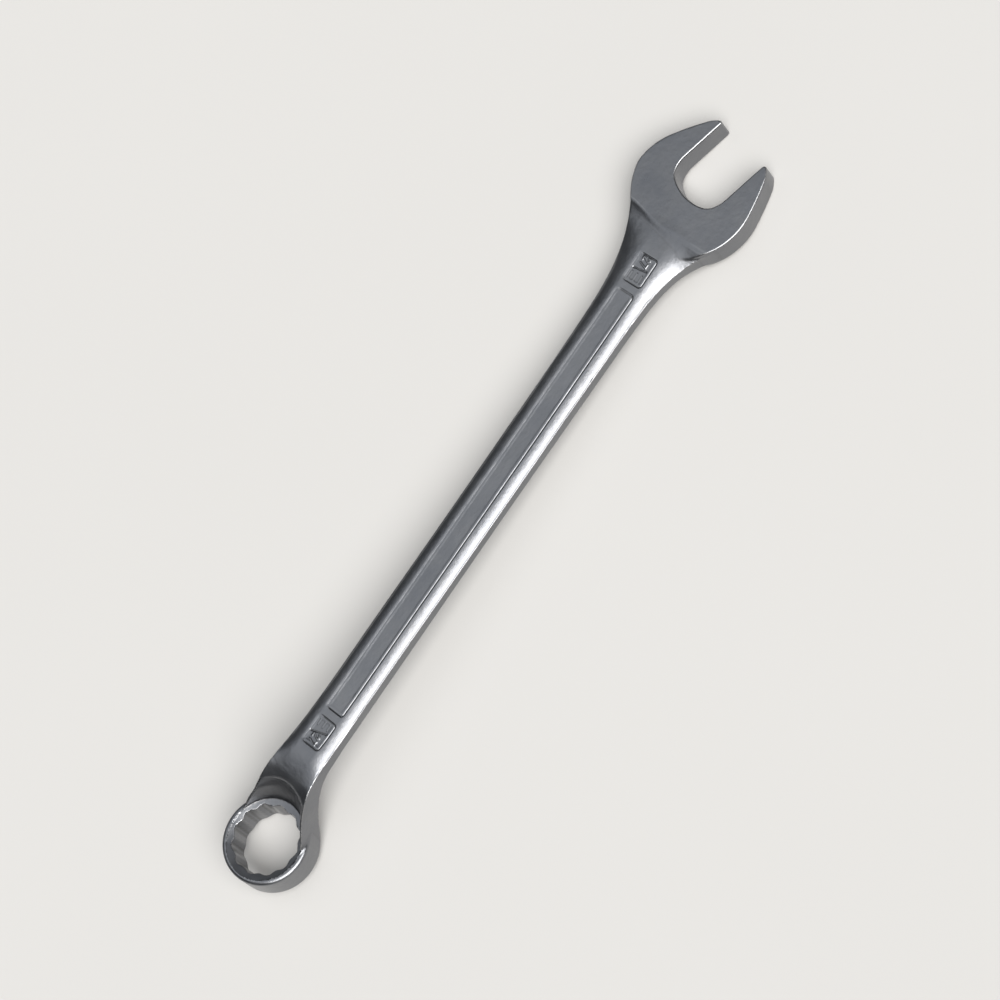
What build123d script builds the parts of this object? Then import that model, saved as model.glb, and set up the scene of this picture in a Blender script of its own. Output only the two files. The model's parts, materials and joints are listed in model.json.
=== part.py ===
from build123d import *
import math
import os

# Combination wrench, 27 mm, one drop forging: a 12-point ring on a deep offset neck, a waisted shank with a
# sunk panel, and an open end turned 15 degrees. Millimetres.
#
# The forging is drawn in the shank's own frame: X runs from the ring to the open end along the shank's
# centre line, Y across it, and Z up through the face that carries the panel. At the end it is laid down
# as it lies on a bench, on the ring and the two jaw tips, with the origin under the middle of its box.

# --- driving dimensions ------------------------------------------------------------------------------
size = 27.0                     # nominal width across flats of the nut or bolt head
clearance = 0.2                 # the openings are this much wider than the nominal size
across_flats = size + clearance

# ring end
ring_radius = 19.4
ring_thickness = 16.0
ring_drop = 18.8                # ring centre below the shank's centre line
ring_tilt = 9.0                 # the ring's top face leans towards the shank by this many degrees
ring_edge_radius = 2.7
socket_corner_radius = 15.2     # the twelve corners are cut off at this radius
socket_points = 12
mouth_chamfer = 0.5

# scoop over the ring: it gives the ring's top face room and hollows the neck above it
scoop_floor_radius = 17.5
scoop_top_radius = 8.5
scoop_top_x = 28.0
scoop_top_height = 10.0         # above the shank's centre line

# open end
head_x = 319.1                  # centre of the open end, measured from the ring's centre
head_y = 0.9
head_radius = 28.3
head_thickness = 12.0
head_edge_radius = 0.7
head_turn = 15.0
shoulder_angle = 71.0           # the round back ends this far from the jaws' axis, on both sides
face_start_x = 299.2            # the ground face of the open end starts here
jaw_length = 31.0               # from the head's centre to the jaw tips
throat_depth = 2.4              # the throat reaches this far behind the head's centre
throat_radius = 21.0
throat_corner_radius = 5.0
jaw_offset = 0.4                # the jaws are centred this far from the head's centre, towards +Y
tip_radius = 1.3

# shank panel and the two size fields
recess_depth = 0.4
panel_surface = 4.0             # height of the crowned face above the centre line, at each recess
ring_field_surface = 4.7
open_field_surface = 4.9
panel_start_x = 62.4
panel_end_x = 271.2
panel_width = 9.5
field_width = 9.8
field_corner_radius = 1.5
ring_field_x = (45.6, 58.5)
open_field_x = (275.2, 288.5)

# bench position: pitch lowers the open end, roll brings both jaw tips down
bench_pitch = 4.01
bench_roll = 1.01


# --- sections of the shank and necks -----------------------------------------------------------------
# Each row: x, half width on the +Y side, half width on the -Y side, top and bottom of the flat side
# strip, and how far the crowned faces rise above the strip. The rows of one length are evenly spaced.
ring_neck = [
    (5, 16.4, 16.4, -11.9, -25.4, 0.4),
    (10, 16.0, 16.0, -7.8, -25.6, 0.6),
    (15, 14.3, 14.3, -4.2, -22.7, 0.9),
    (20, 13.1, 13.1, -0.4, -16.7, 1.2),
    (25, 12.3, 12.3, 2.5, -11.0, 1.3),
    (30, 11.6, 11.6, 4.1, -6.8, 1.3),
    (35, 11.1, 11.1, 4.5, -3.6, 1.2),
    (40, 10.7, 10.7, 4.3, -2.7, 1.3),
    (45, 10.5, 10.5, 3.7, -2.6, 1.4),
    (50, 10.3, 10.3, 3.3, -2.6, 1.5),
    (55, 10.2, 10.2, 3.0, -2.7, 1.5),
    (60, 10.1, 10.1, 2.9, -2.8, 1.5),
]
shank = [
    (60, 10.1, 10.1, 2.9, -2.8, 1.5),
    (105, 10.0, 10.0, 2.6, -2.6, 1.5),
    (150, 9.95, 9.95, 2.4, -2.4, 1.55),
    (195, 10.0, 9.97, 2.5, -2.5, 1.5),
    (240, 10.2, 10.05, 2.8, -2.8, 1.5),
]
open_neck = [
    (240, 10.2, 10.05, 2.8, -2.8, 1.5),
    (250, 10.3, 10.1, 2.9, -2.9, 1.5),
    (260, 10.6, 10.15, 3.0, -3.0, 1.5),
    (270, 11.3, 10.4, 3.2, -3.2, 1.5),
    (280, 12.7, 11.4, 3.6, -3.6, 1.4),
    (290, 15.3, 14.0, 4.1, -4.1, 1.2),
    (300, 19.4, 19.8, 4.8, -4.8, 0.8),
    (310, 25.2, 26.0, 5.3, -5.3, 0.4),
]


def section(x, width_up, width_down, strip_top, strip_bottom, crown):
    """One cross-section of the forging: flat sides, crowned top and bottom."""
    top_up = Vector(x, width_up, strip_top)
    top_down = Vector(x, -width_down, strip_top)
    bottom_up = Vector(x, width_up, strip_bottom)
    bottom_down = Vector(x, -width_down, strip_bottom)
    edges = [
        ThreePointArc(top_up, Vector(x, 0, strip_top + crown), top_down),
        Line(top_down, bottom_down),
        ThreePointArc(bottom_down, Vector(x, 0, strip_bottom - crown), bottom_up),
        Line(bottom_up, top_up),
    ]
    return Face(Wire(edges))


def bar(rows):
    """A length of the forging through its cross-sections."""
    return loft([section(*row) for row in rows])


# --- ring end ----------------------------------------------------------------------------------------
ring_plane = Plane(
    origin=(0, 0, -ring_drop),
    x_dir=(math.cos(math.radians(ring_tilt)), 0, -math.sin(math.radians(ring_tilt))),
    z_dir=(math.sin(math.radians(ring_tilt)), 0, math.cos(math.radians(ring_tilt))),
)


def make_ring():
    blank = Cylinder(ring_radius, ring_thickness)
    return ring_plane * fillet(blank.edges().filter_by(GeomType.CIRCLE), ring_edge_radius)


def make_scoop():
    """Oblique cone from the ring's top face up and back into the neck."""
    floor = ring_plane.offset(ring_thickness / 2) * Circle(scoop_floor_radius)
    top = Plane((scoop_top_x, 0, scoop_top_height)) * Circle(scoop_top_radius)
    return loft([floor, top], ruled=True)


def make_socket():
    """Twelve-point socket: two hexagons a twelfth of a turn apart, corners cut back, mouths chamfered."""
    step = 360 / socket_points
    hexagon_radius = across_flats / 2
    star = RegularPolygon(hexagon_radius, 6, major_radius=False, rotation=step / 2)
    star += RegularPolygon(hexagon_radius, 6, major_radius=False, rotation=step * 1.5)
    star &= Circle(socket_corner_radius)
    socket = extrude(star, ring_thickness, both=True)
    mouth_radius = socket_corner_radius + mouth_chamfer
    mouth = Cone(socket_corner_radius - mouth_chamfer, mouth_radius, 2 * mouth_chamfer)
    lip = ring_thickness / 2
    socket += Pos(0, 0, lip) * mouth
    socket += Pos(0, 0, -lip) * Rot(180, 0, 0) * mouth
    return ring_plane * socket


# --- open end ----------------------------------------------------------------------------------------
head_place = Pos(head_x, head_y) * Rot(0, 0, -head_turn)
half_gap = across_flats / 2


def mirrored(point):
    """The same point on the other jaw."""
    return Vector(point.X, -point.Y)


def make_head_outline():
    """Round back, and jaws that taper to blunt tips."""
    shoulder = Vector(head_radius, 0).rotate(Axis.Z, shoulder_angle)
    jaw_back = Vector(20.8, 21.6)
    tip_outer = Vector(jaw_length - 2.1, half_gap + 3.8)
    tip_inner = Vector(jaw_length + 0.5, half_gap - 1)
    outline = Wire([
        ThreePointArc(mirrored(shoulder), Vector(-head_radius, 0), shoulder),
        ThreePointArc(shoulder, jaw_back, tip_outer),
        Line(tip_outer, tip_inner),
        Line(tip_inner, mirrored(tip_inner)),
        Line(mirrored(tip_inner), mirrored(tip_outer)),
        ThreePointArc(mirrored(tip_outer), mirrored(jaw_back), mirrored(shoulder)),
    ])
    return Face(outline)


def make_gap_outline():
    """The space between the jaws: two parallel flats and a round throat with filleted corners."""
    far = 2 * jaw_length
    throat_centre = throat_radius - throat_depth
    throat_end = Vector(throat_centre - math.sqrt(throat_radius**2 - half_gap**2), half_gap)
    outline = Wire([
        Line(Vector(far, half_gap), throat_end),
        ThreePointArc(throat_end, Vector(-throat_depth, 0), mirrored(throat_end)),
        Line(mirrored(throat_end), Vector(far, -half_gap)),
        Line(Vector(far, -half_gap), Vector(far, half_gap)),
    ])
    corners = [v for v in Face(outline).vertices() if v.X < jaw_length]
    return Pos(0, jaw_offset) * fillet(corners, throat_corner_radius)


def make_head():
    """Flat open end, turned in the plane of the shank, with its ground face starting at the neck."""
    face = make_head_outline() - make_gap_outline()
    tips = [v for v in face.vertices() if v.X > jaw_length - 2]
    face = head_place * fillet(tips, tip_radius)
    beyond = 2 * head_radius
    behind_face = Polyline(
        (face_start_x - beyond, -beyond),
        (face_start_x, -beyond),
        (face_start_x, 3),
        (face_start_x + 3.8, 20.9),
        (face_start_x + 11.5, 26.2),
        (face_start_x + 17.3, 29.2),
        (face_start_x + 17.3, beyond),
        (face_start_x - beyond, beyond),
        close=True,
    )
    face -= Face(Wire(behind_face.edges()))
    plate = extrude(face, head_thickness / 2, both=True)
    rims = [e for e in plate.edges() if abs(abs(e.center().Z) - head_thickness / 2) < 0.01]
    return fillet(rims, head_edge_radius)


def make_gap():
    """The space between the jaws as a solid, to clear it of the neck."""
    return head_place * extrude(make_gap_outline(), head_thickness, both=True)


# --- recesses ----------------------------------------------------------------------------------------
def recess(start_x, end_x, width, surface_height):
    """A shallow sunk field with rounded corners on the top face."""
    outline = RectangleRounded(end_x - start_x, width, field_corner_radius)
    floor = surface_height - recess_depth
    return Pos((start_x + end_x) / 2, 0, floor) * extrude(outline, 10)


def make_wrench():
    """The whole forging in the shank's frame."""
    forging = bar(ring_neck) + bar(shank) + bar(open_neck)
    forging -= make_gap()
    forging += make_head()
    forging += make_ring()
    forging -= make_scoop()
    forging -= make_socket()
    forging -= recess(panel_start_x, panel_end_x, panel_width, panel_surface)
    forging -= recess(*ring_field_x, field_width, ring_field_surface)
    forging -= recess(*open_field_x, field_width, open_field_surface)
    return forging


wrench = make_wrench()
wrench = Rot(bench_roll, 0, 0) * Rot(0, bench_pitch, 0) * wrench
box = wrench.bounding_box()
wrench = Pos(-box.center().X, -box.center().Y, -box.min.Z) * wrench
os.makedirs("parts", exist_ok=True)
export_step(wrench, "parts/wrench_body.step")
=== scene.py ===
import json
import math

import bpy
import numpy as np
from mathutils import Matrix, Vector


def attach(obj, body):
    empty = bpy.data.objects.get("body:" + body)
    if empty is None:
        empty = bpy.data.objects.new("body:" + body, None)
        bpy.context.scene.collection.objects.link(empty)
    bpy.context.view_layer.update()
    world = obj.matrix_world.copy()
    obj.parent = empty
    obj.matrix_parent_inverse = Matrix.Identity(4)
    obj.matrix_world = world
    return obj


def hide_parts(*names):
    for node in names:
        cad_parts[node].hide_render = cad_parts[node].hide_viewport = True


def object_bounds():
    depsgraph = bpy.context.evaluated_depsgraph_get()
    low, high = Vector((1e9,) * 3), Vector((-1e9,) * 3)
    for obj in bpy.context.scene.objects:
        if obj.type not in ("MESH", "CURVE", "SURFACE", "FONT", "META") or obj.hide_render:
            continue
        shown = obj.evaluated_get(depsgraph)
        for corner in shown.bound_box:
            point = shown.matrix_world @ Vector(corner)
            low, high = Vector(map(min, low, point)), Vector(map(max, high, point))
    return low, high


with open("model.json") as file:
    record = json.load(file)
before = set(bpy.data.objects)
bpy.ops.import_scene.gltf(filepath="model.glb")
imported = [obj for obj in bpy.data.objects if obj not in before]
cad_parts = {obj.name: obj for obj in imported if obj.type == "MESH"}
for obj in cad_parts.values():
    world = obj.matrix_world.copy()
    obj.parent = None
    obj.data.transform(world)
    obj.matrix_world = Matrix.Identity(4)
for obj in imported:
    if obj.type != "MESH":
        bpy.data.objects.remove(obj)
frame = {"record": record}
cad_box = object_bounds()

# The wrench's surface is described here as a distance function, in millimetres, in the shank's own frame: X
# from the ring to the open end along the shank's centre line, Y across, Z up through the panel. Negative is
# metal. The mesh is polygonised from it, and then laid down as the CAD part lies.

# --- dimensions ---------------------------------------------------------------------------------------
# The main ones are the CAD part's. The ring's top edge, dish and scoop, the jaws' outer arcs and tips, and
# some stations of the necks are shaped more finely here.
MM = 0.001
ACROSS_FLATS = 27.2
RING_RADIUS = 19.4
RING_HALF_HEIGHT = 8.0
RING_DROP = 18.8
RING_TILT = math.radians(9.0)
RING_TOP_EDGE = 1.6
RING_BOTTOM_EDGE = 2.7
NECK_FILLET = 1.0
SOCKET_CORNER = 15.2
DISH_RADIUS = 17.8              # inside this the ring's top face is slightly dished
DISH_SLOPE = 0.21
LOWER_CHAMFER = 0.5
SCOOP_RADIUS = 18.0
SCOOP_LEAN, SCOOP_TAPER = 0.54, 0.2      # shift and loss of radius for each millimetre of height
SCOOP_SQUEEZE = 1.065           # the scoop is this much narrower across than along, at its foot
SCOOP_SPREAD = 0.3              # that factor falls by this much between the two heights
SCOOP_SPREAD_RISE = (9.0, 19.0)
CREST_ROUNDING = (0.05, 0.65)   # edge of the scoop at the ring's face, and higher up the neck
CREST_RISE = (8.2, 9.8)
HEAD_X, HEAD_Y = 319.1, 0.9
HEAD_RADIUS = 28.3
JAW_BOW = (-37.4, -90.5, 126.2)   # centre and radius of each jaw's outer arc, across the jaws' axis
JAW_BOW_START = 9.3
HEAD_HALF_HEIGHT = 6.0
HEAD_EDGE = 0.7
HEAD_TURN = math.radians(-15.0)
JAW_OFFSET = 0.4
JAW_TIP = 30.5
JAW_TIP_SLANT = 0.42
JAW_TIP_ROUNDING = 2.8
GAP_ROUNDING = 2.4
CREASE_X = 300.6                # the ground face starts here on the -Y side
CREASE_SHIFT = 4.4              # and this much later on the +Y side
RAMP_DOWN, RAMP_UP = 0.3, 0.55  # slope into the ground face on the -Y and the +Y side
THROAT_DEPTH = 2.4
THROAT_RADIUS = 21.0
PANEL_X = (62.4, 271.2)
PANEL_HALF_WIDTH = 4.75
RING_FIELD_X = (45.6, 58.5)
OPEN_FIELD_X = (275.2, 288.5)
FIELD_HALF_WIDTH = 4.9
FIELD_CORNER = 1.5
BENCH_PITCH = math.radians(4.01)
BENCH_ROLL = math.radians(1.01)

# Stations along the forging: x, half width on +Y, half width on -Y, edge height above and below the centre
# line, and height of the crown above and below it.
STATIONS = [
    (2, 16.6, 16.6, -13.5, -25.0, -13.1, -25.4),
    (5, 16.4, 16.4, -11.9, -25.4, -11.5, -25.8),
    (10, 16.0, 16.0, -7.8, -25.6, -7.2, -26.2),
    (15, 14.3, 14.3, -4.2, -22.7, -3.3, -23.6),
    (20, 13.1, 13.1, -0.4, -16.7, 0.8, -17.9),
    (25, 12.3, 12.3, 2.5, -11.0, 1.2, -12.3),
    (27, 12.0, 12.0, 3.3, -9.2, 2.2, -10.5),
    (30, 11.6, 11.6, 4.1, -6.8, 3.7, -8.1),
    (33, 11.3, 11.3, 4.4, -4.9, 4.5, -6.2),
    (36, 11.0, 11.0, 4.5, -3.5, 5.05, -4.8),
    (40, 10.7, 10.7, 4.3, -2.7, 5.5, -4.0),
    (45, 10.5, 10.5, 3.7, -2.6, 5.4, -4.0),
    (50, 10.3, 10.3, 3.3, -2.6, 4.85, -4.1),
    (60, 10.1, 10.1, 2.9, -2.8, 4.4, -4.3),
    (105, 10.0, 10.0, 2.6, -2.6, 4.1, -4.1),
    (150, 9.95, 9.95, 2.4, -2.4, 3.95, -3.95),
    (195, 10.0, 9.97, 2.5, -2.5, 4.0, -4.0),
    (240, 10.2, 10.05, 2.8, -2.8, 4.3, -4.3),
    (260, 10.7, 10.25, 2.75, -2.75, 4.5, -4.5),
    (270, 11.5, 10.65, 2.65, -2.65, 4.7, -4.7),
    (280, 13.1, 11.85, 2.6, -2.6, 5.0, -5.0),
    (290, 15.9, 14.7, 2.7, -2.7, 5.3, -5.3),
    (298, 18.9, 18.8, 3.8, -3.8, 5.4, -5.4),
    (304, 21.8, 22.5, 4.6, -4.6, 5.3, -5.3),
    (310, 23.6, 23.6, 4.2, -4.2, 4.8, -4.8),
    (318, 24.0, 24.5, 3.4, -3.4, 3.9, -3.9),
]
# On the +Y side the flare cuts the round back of the open end off along this line.
SHOULDER = [
    (290, 15.3),
    (298.5, 18.8),
    (302.6, 20.9),
    (306.6, 23.6),
    (310.7, 26.4),
    (314.8, 28.6),
    (322, 33.0),
]
SHOULDER_END = 322


# --- distance function toolbox ------------------------------------------------------------------------
def smooth_curve(xs, ys):
    """A smooth curve through the points, constant beyond its ends."""
    xs, ys = np.asarray(xs, float), np.asarray(ys, float)
    slopes = np.gradient(ys, xs)

    def value(x):
        i = np.clip(np.searchsorted(xs, x) - 1, 0, len(xs) - 2)
        step = xs[i + 1] - xs[i]
        t = np.clip((x - xs[i]) / step, 0, 1)
        near = ys[i] * (1 + 2 * t) * (1 - t) ** 2 + slopes[i] * step * t * (1 - t) ** 2
        far = ys[i + 1] * t**2 * (3 - 2 * t) + slopes[i + 1] * step * t**2 * (t - 1)
        return near + far

    return value


def cut(a, b, radius):
    """What is inside both, with the edge between them rounded to this radius."""
    corner = np.hypot(np.maximum(a + radius, 0), np.maximum(b + radius, 0))
    return np.minimum(np.maximum(a, b), -radius) + corner


def join(a, b, radius):
    """What is inside either, with a fillet of this radius between them."""
    return -cut(-a, -b, radius)


def step_up(value, start, end):
    """0 before start, 1 after end, smooth in between."""
    t = np.clip((value - start) / (end - start), 0, 1)
    return t * t * (3 - 2 * t)


def rounded_rectangle(x, y, span, half_width, corner):
    """Distance to a rounded rectangle in the plane, negative inside."""
    across = np.abs(x - (span[0] + span[1]) / 2) - (span[1] - span[0]) / 2 + corner
    up = np.abs(y) - half_width + corner
    outside = np.hypot(np.maximum(across, 0), np.maximum(up, 0))
    return outside + np.minimum(np.maximum(across, up), 0) - corner


def stroke(x, y, start, end):
    """Distance to a straight stroke."""
    along = np.array(end, float) - np.array(start, float)
    t = np.clip(((x - start[0]) * along[0] + (y - start[1]) * along[1]) / (along @ along), 0, 1)
    return np.hypot(x - start[0] - t * along[0], y - start[1] - t * along[1])


# --- relief on the faces ------------------------------------------------------------------------------
def sunk_field(edge, y):
    """Height change of a sunk field, from the distance to its outline: a groove, then the stepped floor."""
    shallow_side = step_up(y, 2.0, 4.0)
    groove = 0.36 * np.exp(-((edge + 0.15) / 0.34) ** 2) * (1 - 0.75 * shallow_side)
    floor = 0.2 * step_up(-edge, 0.1, 0.8) + 0.1 * step_up(-edge, 1.1, 1.8)
    return -groove - floor


def strokes(x, y, points):
    """Distance to a run of straight strokes."""
    return np.minimum.reduce([stroke(x, y, start, end) for start, end in zip(points, points[1:])])


TWO = [(-0.8, 0.9), (-0.45, 1.55), (0.25, 1.7), (0.8, 1.1), (0.6, 0.3), (-0.85, -1.7), (0.85, -1.7)]
SEVEN = [(-0.85, 1.7), (0.85, 1.7), (-0.3, -1.7)]
DIGIT_SHIFT = 1.3


def size_number(x, y, centre):
    """The size, 27, as raised strokes that read from the open end."""
    u, v = centre - x, -y
    return np.minimum(strokes(u + DIGIT_SHIFT, v, TWO), strokes(u - DIGIT_SHIFT, v, SEVEN))


def field_marks(x, y):
    """Raised numbers and plain bars in the two size fields, and the slanted groove that divides each."""
    number = np.minimum(size_number(x, y, 48.9), size_number(x, y, 285.6))
    bars = [stroke(x, y, (54.6, v), (57.0, v)) for v in (-2.6, 0.0, 2.6)]
    bars += [stroke(x, y, (276.8, v), (279.8, v)) for v in (-2.6, 0.0, 2.6)]
    raised = 0.16 * step_up(-np.minimum(number, np.minimum.reduce(bars)), -0.5, -0.1)
    divider = np.minimum(stroke(x, y, (50.9, 3.8), (53.2, -3.6)), stroke(x, y, (281.6, 3.4), (282.4, -3.0)))
    return raised - 0.22 * np.exp(-((divider / 0.32) ** 2))


def relief(x, y):
    """Height change of a crowned face: panel, two size fields and their marks."""
    panel = rounded_rectangle(x, y, PANEL_X, PANEL_HALF_WIDTH, FIELD_CORNER)
    ring_field = rounded_rectangle(x, y, RING_FIELD_X, FIELD_HALF_WIDTH, FIELD_CORNER)
    open_field = rounded_rectangle(x, y, OPEN_FIELD_X, FIELD_HALF_WIDTH, FIELD_CORNER)
    edge = np.minimum(panel, np.minimum(ring_field, open_field))
    in_field = np.minimum(ring_field, open_field) < -0.5
    return sunk_field(edge, y) + np.where(in_field, field_marks(x, y), 0)


# --- the forging --------------------------------------------------------------------------------------
STATION_X, *STATION_VALUES = zip(*STATIONS)
width_up, width_down, edge_top, edge_bottom, crown_top, crown_bottom = (
    smooth_curve(STATION_X, values) for values in STATION_VALUES
)
shoulder = smooth_curve(*zip(*SHOULDER))
FLAT_HALF_WIDTH = 4.75          # the crowned faces are flat up to here
SIDE_EDGE = 0.3                 # rounding between the crowned faces and the flat side strips
EDGE_GROOVE = 0.2               # depth of the fine groove that runs along that edge on the shank
EDGE_GROOVE_INSET = 0.55
EDGE_GROOVE_WIDTH = 0.3


def edge_groove(x, rim):
    """Depth of the fine groove beside the edges, from the distance to the side. It fades into both necks."""
    on_shank = step_up(x, 30.0, 50.0) * (1 - step_up(x, 270.0, 292.0))
    return EDGE_GROOVE * np.exp(-(((rim - EDGE_GROOVE_INSET) / EDGE_GROOVE_WIDTH) ** 2)) * on_shank


def bar(x, y, z):
    """Ring neck, shank and flare: flat side strips, and faces flat in the middle that fall off to them."""
    half_width = np.where(y > 0, width_up(x), width_down(x))
    t = np.clip((np.abs(y) - FLAT_HALF_WIDTH) / (half_width - FLAT_HALF_WIDTH), 0, 1.3)
    fall = 0.24 * t + 0.76 * t**2
    top = crown_top(x) - (crown_top(x) - edge_top(x)) * fall
    bottom = crown_bottom(x) + (edge_bottom(x) - crown_bottom(x)) * fall
    face = np.maximum(z - top - relief(x, y), bottom - z)
    rim = half_width - np.abs(y)
    face = face + edge_groove(x, rim)
    return cut(face, -rim, SIDE_EDGE)


def ring_axes(x, y, z):
    """Distance from the ring's axis, and height above its middle plane."""
    lifted = z + RING_DROP
    along = x * math.cos(RING_TILT) - lifted * math.sin(RING_TILT)
    height = x * math.sin(RING_TILT) + lifted * math.cos(RING_TILT)
    return along, height


def hexagon(along, y, turn):
    """Distance to the socket's hexagon, turned by an angle in degrees."""
    sides = []
    for side in range(3):
        angle = math.radians(turn + 60 * side)
        sides.append(np.abs(along * math.cos(angle) + y * math.sin(angle)))
    return np.maximum.reduce(sides) - ACROSS_FLATS / 2


def socket(along, y, height):
    """Twelve points with their corners cut back, and a chamfered mouth underneath."""
    radius = np.hypot(along, y)
    star = join(hexagon(along, y, 15), hexagon(along, y, 45), 0.35)
    star = cut(star, radius - SOCKET_CORNER, 0.25)
    mouth = (radius - SOCKET_CORNER - LOWER_CHAMFER + RING_HALF_HEIGHT + height) * math.sqrt(0.5)
    return np.minimum(star, mouth)


def scoop(along, y, height):
    """The hollow over the ring: an oblique cone leaning into the neck, open upwards over a dished floor."""
    rise = height - RING_HALF_HEIGHT
    floor = -0.03 - DISH_SLOPE * np.maximum(DISH_RADIUS - np.hypot(along, y), 0)
    across = y * (SCOOP_SQUEEZE - SCOOP_SPREAD * step_up(rise, *SCOOP_SPREAD_RISE))
    cone = (np.hypot(along - SCOOP_LEAN * rise, across) - SCOOP_RADIUS + SCOOP_TAPER * rise) / 1.1
    return cut(cone, floor - rise, 0.25)


def jaw_outline(p, q):
    """Outline of the open end in the plane, p towards the tips and q across: round back, tapering jaws."""
    back = np.hypot(p, q) - HEAD_RADIUS
    across = np.abs(q)
    bow = np.hypot(p - JAW_BOW[0], across - JAW_BOW[1]) - JAW_BOW[2]
    outline = np.minimum(back, np.maximum(bow, JAW_BOW_START - p))
    slanted = p - JAW_TIP + JAW_TIP_SLANT * (across - ACROSS_FLATS / 2)
    return cut(outline, slanted / math.hypot(1, JAW_TIP_SLANT), JAW_TIP_ROUNDING)


def jaw_gap(p, q):
    """The space between the jaws: parallel flats and a round throat."""
    across = q - JAW_OFFSET
    throat = np.hypot(p - THROAT_RADIUS + THROAT_DEPTH, across) - THROAT_RADIUS
    throat = np.where(p > THROAT_RADIUS - THROAT_DEPTH, -99.0, throat)
    return cut(np.abs(across) - ACROSS_FLATS / 2, throat, 4.0)


def open_end(x, y, z):
    """The flat plate with its jaws. Its ground faces start at a soft crease across the neck."""
    p = (x - HEAD_X) * math.cos(HEAD_TURN) + (y - HEAD_Y) * math.sin(HEAD_TURN)
    q = -(x - HEAD_X) * math.sin(HEAD_TURN) + (y - HEAD_Y) * math.cos(HEAD_TURN)
    outline = jaw_outline(p, q)
    # 0.85 turns the height above the sloping shoulder line into about the distance from it
    outline = np.where(x < SHOULDER_END, cut(outline, 0.85 * (y - shoulder(x)), 3.0), outline)
    gap = jaw_gap(p, q)
    outline = cut(outline, -gap, GAP_ROUNDING)
    crease = CREASE_X + CREASE_SHIFT * step_up(y, 0.0, 24.0)
    above = np.abs(z) - HEAD_HALF_HEIGHT
    ramp = RAMP_DOWN + (RAMP_UP - RAMP_DOWN) * step_up(y, -6.0, 6.0)
    ground = cut(above, (above + ramp * (crease - x)) / np.hypot(1, ramp), 0.4)
    return cut(outline, ground, HEAD_EDGE), gap


def wrench(x, y, z):
    """The whole forging."""
    plate, gap = open_end(x, y, z)
    along, height = ring_axes(x, y, z)
    radius = np.hypot(along, y)
    ring_edge = np.where(height > 0, RING_TOP_EDGE, RING_BOTTOM_EDGE)
    ring = cut(radius - RING_RADIUS, np.abs(height) - RING_HALF_HEIGHT, ring_edge)
    neck = np.maximum(np.maximum(bar(x, y, z), 2 - x), x - 318)
    body = join(neck, ring, NECK_FILLET)
    sharp, soft = CREST_ROUNDING
    crest = sharp + (soft - sharp) * step_up(height, *CREST_RISE)
    body = cut(body, -scoop(along, y, height), crest)
    body = np.where(x > 280, join(np.maximum(body, -gap), plate, 0.8), body)
    return np.maximum(body, -socket(along, y, height))


# --- mesh ---------------------------------------------------------------------------------------------
def grid_line(stops):
    """Grid positions from (start, spacing) stops; the last stop is the end."""
    parts = []
    for (start, spacing), (end, _) in zip(stops, stops[1:]):
        count = max(1, round((end - start) / spacing))
        parts.append(np.linspace(start, end, count, endpoint=False))
    return np.concatenate(parts + [[stops[-1][0]]])


def sample(xs, ys, zs):
    """Distance at every grid point that can be near metal; elsewhere it stays outside."""
    x, y, z = np.meshgrid(xs, ys, zs, indexing="ij")
    near = (z > -8.5) | (x < 48)
    values = np.ones(x.shape, np.float32)
    values[near] = wrench(x[near], y[near], z[near])
    return values


def surface_net(values, axes):
    """One vertex in each cell that the surface crosses, and one quad for each grid edge that it crosses."""
    inside = values < 0
    cells = tuple(n - 1 for n in values.shape)
    count = np.zeros(cells, np.int8)
    for i in (0, 1):
        for j in (0, 1):
            for k in (0, 1):
                count += inside[i:i + cells[0], j:j + cells[1], k:k + cells[2]]
    crossed = (count > 0) & (count < 8)
    index = np.full(cells, -1, np.int64)
    index[crossed] = np.arange(crossed.sum())
    where = np.argwhere(crossed)
    total = np.zeros((len(where), 3))
    hits = np.zeros((len(where), 1))
    for axis in range(3):
        others = [a for a in range(3) if a != axis]
        for first in (0, 1):
            for second in (0, 1):
                near = where.copy()
                near[:, others[0]] += first
                near[:, others[1]] += second
                far = near.copy()
                far[:, axis] += 1
                a = values[tuple(near.T)]
                b = values[tuple(far.T)]
                hit = (a < 0) != (b < 0)
                t = np.where(hit, a / np.where(hit, a - b, 1), 0)
                point = np.stack([axes[n][near[:, n]] for n in range(3)], axis=1)
                point[:, axis] += t * (axes[axis][far[:, axis]] - axes[axis][near[:, axis]])
                total += point * hit[:, None]
                hits += hit[:, None]
    quads = []
    for axis in range(3):
        low = [slice(None)] * 3
        high = [slice(None)] * 3
        low[axis] = slice(0, -1)
        high[axis] = slice(1, None)
        start, end = inside[tuple(low)], inside[tuple(high)]
        second, third = (axis + 1) % 3, (axis + 2) % 3
        edges = np.argwhere(start != end)
        around = []
        for da, db in ((1, 1), (0, 1), (0, 0), (1, 0)):
            cell = edges.copy()
            cell[:, second] -= da
            cell[:, third] -= db
            around.append(index[tuple(cell.T)])
        quad = np.stack(around, axis=1)
        leaving = start[tuple(edges.T)]
        quad[~leaving] = quad[~leaving][:, ::-1]
        quads.append(quad)
    return total / hits, np.concatenate(quads)


def slope(points, reach):
    """Gradient of the distance function, and its curvature, by small steps."""
    x, y, z = points.T
    gradient = np.zeros_like(points)
    around = np.zeros(len(points))
    for axis in range(3):
        step = np.zeros(3)
        step[axis] = reach
        up = wrench(x + step[0], y + step[1], z + step[2])
        down = wrench(x - step[0], y - step[1], z - step[2])
        gradient[:, axis] = (up - down) / (2 * reach)
        around += up + down
    return gradient, (around - 6 * wrench(x, y, z)) / reach**2


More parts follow.
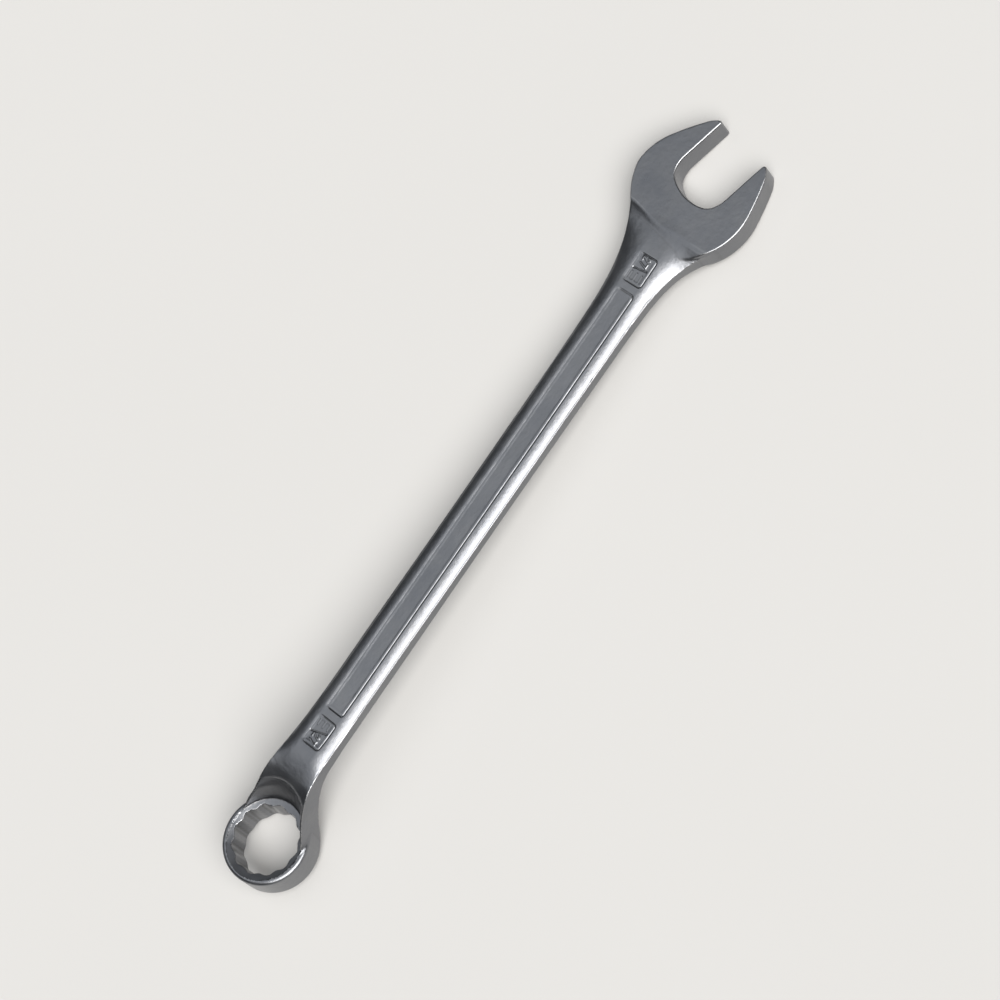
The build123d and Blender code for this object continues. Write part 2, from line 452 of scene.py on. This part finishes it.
def settle(points):
    """Moves every vertex onto the surface, and gives each one its normal and how sharply it bends."""
    for _ in range(3):
        gradient, _ = slope(points, 0.03)
        strength = np.maximum((gradient**2).sum(1), 0.2)
        move = -wrench(*points.T) / strength
        points = points + gradient * np.clip(move, -0.35, 0.35)[:, None]
    gradient, _ = slope(points, 0.06)
    _, bend = slope(points, 0.3)
    return points, gradient / np.linalg.norm(gradient, axis=1)[:, None], bend


def bench_place():
    """From the shank's frame in millimetres to the part's frame in metres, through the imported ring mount."""
    turn = Matrix.Rotation(BENCH_ROLL, 4, "X") @ Matrix.Rotation(BENCH_PITCH, 4, "Y")
    mounts = {mount["name"]: mount for mount in frame["record"]["mounts"]}
    ring_centre = Vector(mounts["ring_socket"]["pos_m"])
    shift = ring_centre - turn @ Vector((0, 0, -RING_DROP * MM))
    return Matrix.Translation(shift) @ turn


def make_wrench(place):
    """The mesh. The grid is finest across the panel's edges, and along the shank it is coarse."""
    fine = 0.52
    small = 0.7 * fine
    ring_neck_stops = [(-21, fine), (45, small), (59.5, fine)]
    open_neck_stops = [(267.5, fine), (274.5, small), (289.5, fine), (353, 0)]
    xs = grid_line([*ring_neck_stops, (66, 1.5), *open_neck_stops])
    ys = grid_line([(-28.6, fine), (-5.6, 0.24), (-3.9, fine), (3.9, 0.24), (5.6, fine), (30.6, 0)])
    zs = grid_line([(-30.6, fine), (7.0, 0)])
    points, quads = surface_net(sample(xs, ys, zs), (xs, ys, zs))
    points, normals, bend = settle(points)
    mesh = bpy.data.meshes.new("wrench")
    mesh.from_pydata((points * MM).tolist(), [], quads.tolist())
    mesh.attributes.new("bend", "FLOAT", "POINT").data.foreach_set("value", bend.astype(np.float32))
    mesh.shade_smooth()
    mesh.transform(place)
    turn = np.array(place.to_3x3())
    mesh.normals_split_custom_set_from_vertices((normals @ turn.T).tolist())
    piece = bpy.data.objects.new("wrench", mesh)
    bpy.context.scene.collection.objects.link(piece)
    return piece


# --- materials ----------------------------------------------------------------------------------------
def new_material(name):
    material = bpy.data.materials.new(name)
    material.use_nodes = True
    tree = material.node_tree
    return material, tree, tree.nodes["Principled BSDF"]


def noise(tree, position, scale, detail=3.0, roughness=0.55):
    node = tree.nodes.new("ShaderNodeTexNoise")
    node.inputs["Scale"].default_value = scale
    node.inputs["Detail"].default_value = detail
    node.inputs["Roughness"].default_value = roughness
    tree.links.new(position, node.inputs["Vector"])
    return node.outputs["Fac"]


def remap(tree, value, low, high, to_low, to_high):
    node = tree.nodes.new("ShaderNodeMapRange")
    node.inputs["From Min"].default_value = low
    node.inputs["From Max"].default_value = high
    node.inputs["To Min"].default_value = to_low
    node.inputs["To Max"].default_value = to_high
    tree.links.new(value, node.inputs["Value"])
    return node.outputs["Result"]


def blend_colours(tree, factor, low, high):
    node = tree.nodes.new("ShaderNodeMix")
    node.data_type = "RGBA"
    tree.links.new(factor, node.inputs["Factor"])
    for colour, socket_name in ((low, "A"), (high, "B")):
        slot = next(s for s in node.inputs if s.name == socket_name and s.type == "RGBA")
        if isinstance(colour, tuple):
            slot.default_value = colour
        else:
            tree.links.new(colour, slot)
    return next(s for s in node.outputs if s.type == "RGBA")


def arithmetic(tree, operation, a, b):
    node = tree.nodes.new("ShaderNodeMath")
    node.operation = operation
    for value, slot in ((a, node.inputs[0]), (b, node.inputs[1])):
        if isinstance(value, (int, float)):
            slot.default_value = value
        else:
            tree.links.new(value, slot)
    return node.outputs[0]


def add_bump(tree, height, strength, distance, before=None):
    node = tree.nodes.new("ShaderNodeBump")
    node.inputs["Strength"].default_value = strength
    node.inputs["Distance"].default_value = distance
    tree.links.new(height, node.inputs["Height"])
    if before is not None:
        tree.links.new(before, node.inputs["Normal"])
    return node.outputs["Normal"]


def satin_chrome():
    """Satin chrome on blasted steel: fine grain, faint mottling, rubbed brighter edges, and painted shade that
    darkens the concave corners.
    """
    material, tree, shader = new_material("satin_chrome")
    position = tree.nodes.new("ShaderNodeTexCoord").outputs["Object"]
    bend = tree.nodes.new("ShaderNodeAttribute")
    bend.attribute_name = "bend"
    bend = bend.outputs["Fac"]
    mottle = noise(tree, position, 130, 4.0)
    patches = noise(tree, position, 28, 3.0)
    grain = noise(tree, position, 2600, 2.0, 0.6)
    ripple = noise(tree, position, 420, 3.0)

    patchy = remap(tree, patches, 0.35, 0.65, 0, 1)
    base = blend_colours(tree, patchy, (0.185, 0.191, 0.206, 1), (0.232, 0.236, 0.249, 1))
    speckled = blend_colours(tree, remap(tree, mottle, 0.3, 0.7, 0, 0.5), base, (0.255, 0.258, 0.266, 1))
    worn = remap(tree, bend, 0.6, 1.8, 0, 0.6)
    rubbed = blend_colours(tree, worn, speckled, (0.40, 0.40, 0.405, 1))
    # painted shade: concave corners and creases are darkened towards near black, the more the sharper they
    # bend inwards
    crease_shade = remap(tree, bend, -0.4, -1.6, 0, 0.5)
    colour = blend_colours(tree, crease_shade, rubbed, (0.085, 0.083, 0.078, 1))
    tree.links.new(colour, shader.inputs["Base Color"])

    satin = remap(tree, mottle, 0.25, 0.75, 0.29, 0.38)
    satin = arithmetic(tree, "ADD", satin, remap(tree, grain, 0.3, 0.7, -0.03, 0.03))
    satin = arithmetic(tree, "SUBTRACT", satin, arithmetic(tree, "MULTIPLY", worn, 0.08))
    tree.links.new(satin, shader.inputs["Roughness"])
    shader.inputs["Metallic"].default_value = 1.0

    normal = add_bump(tree, ripple, 0.34, 0.0003)
    normal = add_bump(tree, grain, 0.28, 0.00006, normal)
    tree.links.new(normal, shader.inputs["Normal"])
    return material


def pale_floor():
    material, tree, shader = new_material("pale_floor")
    position = tree.nodes.new("ShaderNodeTexCoord").outputs["Object"]
    cloud = noise(tree, position, 3.0, 2.0)
    colour = blend_colours(tree, cloud, (0.56, 0.551, 0.535, 1), (0.58, 0.571, 0.555, 1))
    tree.links.new(colour, shader.inputs["Base Color"])
    shader.inputs["Roughness"].default_value = 0.9
    shader.inputs["Specular IOR Level"].default_value = 0.1
    return material


# --- camera, lights and floor -------------------------------------------------------------------------
VIEW_TILT = math.radians(26.235)        # camera axis from straight down, leaning back towards -Y
VIEW_SWING = math.radians(0.221)
VIEW_ROLL = math.radians(55.07 + 0.13)
VIEW_DISTANCE = 994.708
VIEW_TARGET = Vector((172.163, -5.091, 0))
LENS, SENSOR = 87.57, 36.0


def make_camera(place):
    """The photograph's viewpoint, set in the shank's frame and laid down with the wrench."""
    forward = Vector((
        -math.sin(VIEW_SWING),
        math.cos(VIEW_SWING) * math.sin(VIEW_TILT),
        -math.cos(VIEW_SWING) * math.cos(VIEW_TILT),
    ))
    right = (Vector((1, 0, 0)) - forward.x * forward).normalized()
    up = right.cross(forward)
    turned_right = math.cos(VIEW_ROLL) * right - math.sin(VIEW_ROLL) * up
    turned_up = math.sin(VIEW_ROLL) * right + math.cos(VIEW_ROLL) * up
    axes = Matrix((turned_right, turned_up, -forward)).transposed().to_4x4()
    data = bpy.data.cameras.new("camera")
    data.lens = LENS
    data.sensor_width = SENSOR
    camera = bpy.data.objects.new("camera", data)
    position = (VIEW_TARGET - VIEW_DISTANCE * forward) * MM
    camera.matrix_world = place @ Matrix.Translation(position) @ axes
    bpy.context.scene.collection.objects.link(camera)
    bpy.context.scene.camera = camera


def add_light(name, angle, width, strength, colour):
    """A far, soft, round light. angle is its tilt from straight up towards -Y, width its apparent size."""
    data = bpy.data.lights.new(name, "SUN")
    data.angle = math.radians(width)
    data.energy = strength
    data.color = colour
    light = bpy.data.objects.new(name, data)
    light.rotation_euler = (math.radians(angle), 0, 0)
    bpy.context.scene.collection.objects.link(light)


def make_studio():
    """Two far lights and a dim sky. The camera sees a pale backdrop beyond the floor in place of that sky."""
    add_light("key", 33, 56, 4.6, (1.0, 0.99, 0.975))
    add_light("top", -20, 48, 0.42, (0.93, 0.965, 1.0))
    world = bpy.data.worlds.new("studio")
    world.use_nodes = True
    tree = world.node_tree
    shade = tree.nodes["Background"]
    shade.inputs["Color"].default_value = (0.9, 0.94, 1.0, 1)
    shade.inputs["Strength"].default_value = 0.1
    backdrop = tree.nodes.new("ShaderNodeBackground")
    backdrop.inputs["Color"].default_value = (0.93, 0.93, 0.92, 1)
    backdrop.inputs["Strength"].default_value = 0.85
    either = tree.nodes.new("ShaderNodeMixShader")
    tree.links.new(tree.nodes.new("ShaderNodeLightPath").outputs["Is Camera Ray"], either.inputs[0])
    tree.links.new(shade.outputs[0], either.inputs[1])
    tree.links.new(backdrop.outputs[0], either.inputs[2])
    tree.links.new(either.outputs[0], tree.nodes["World Output"].inputs["Surface"])
    bpy.context.scene.world = world


def make_floor():
    half = 4.0
    mesh = bpy.data.meshes.new("floor")
    corners = [(-half, -half, 0), (half, -half, 0), (half, half, 0), (-half, half, 0)]
    mesh.from_pydata(corners, [], [(0, 1, 2, 3)])
    floor = bpy.data.objects.new("floor", mesh)
    floor.location.z = cad_box[0][2]
    bpy.context.scene.collection.objects.link(floor)
    mesh.materials.append(pale_floor())


# --- scene --------------------------------------------------------------------------------------------
place = bench_place()
make_camera(place)
make_studio()
make_floor()

piece = make_wrench(place)
piece.data.materials.append(satin_chrome())
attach(piece, "root")
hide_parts("wrench_body")

scene = bpy.context.scene
scene.view_settings.view_transform = "Standard"
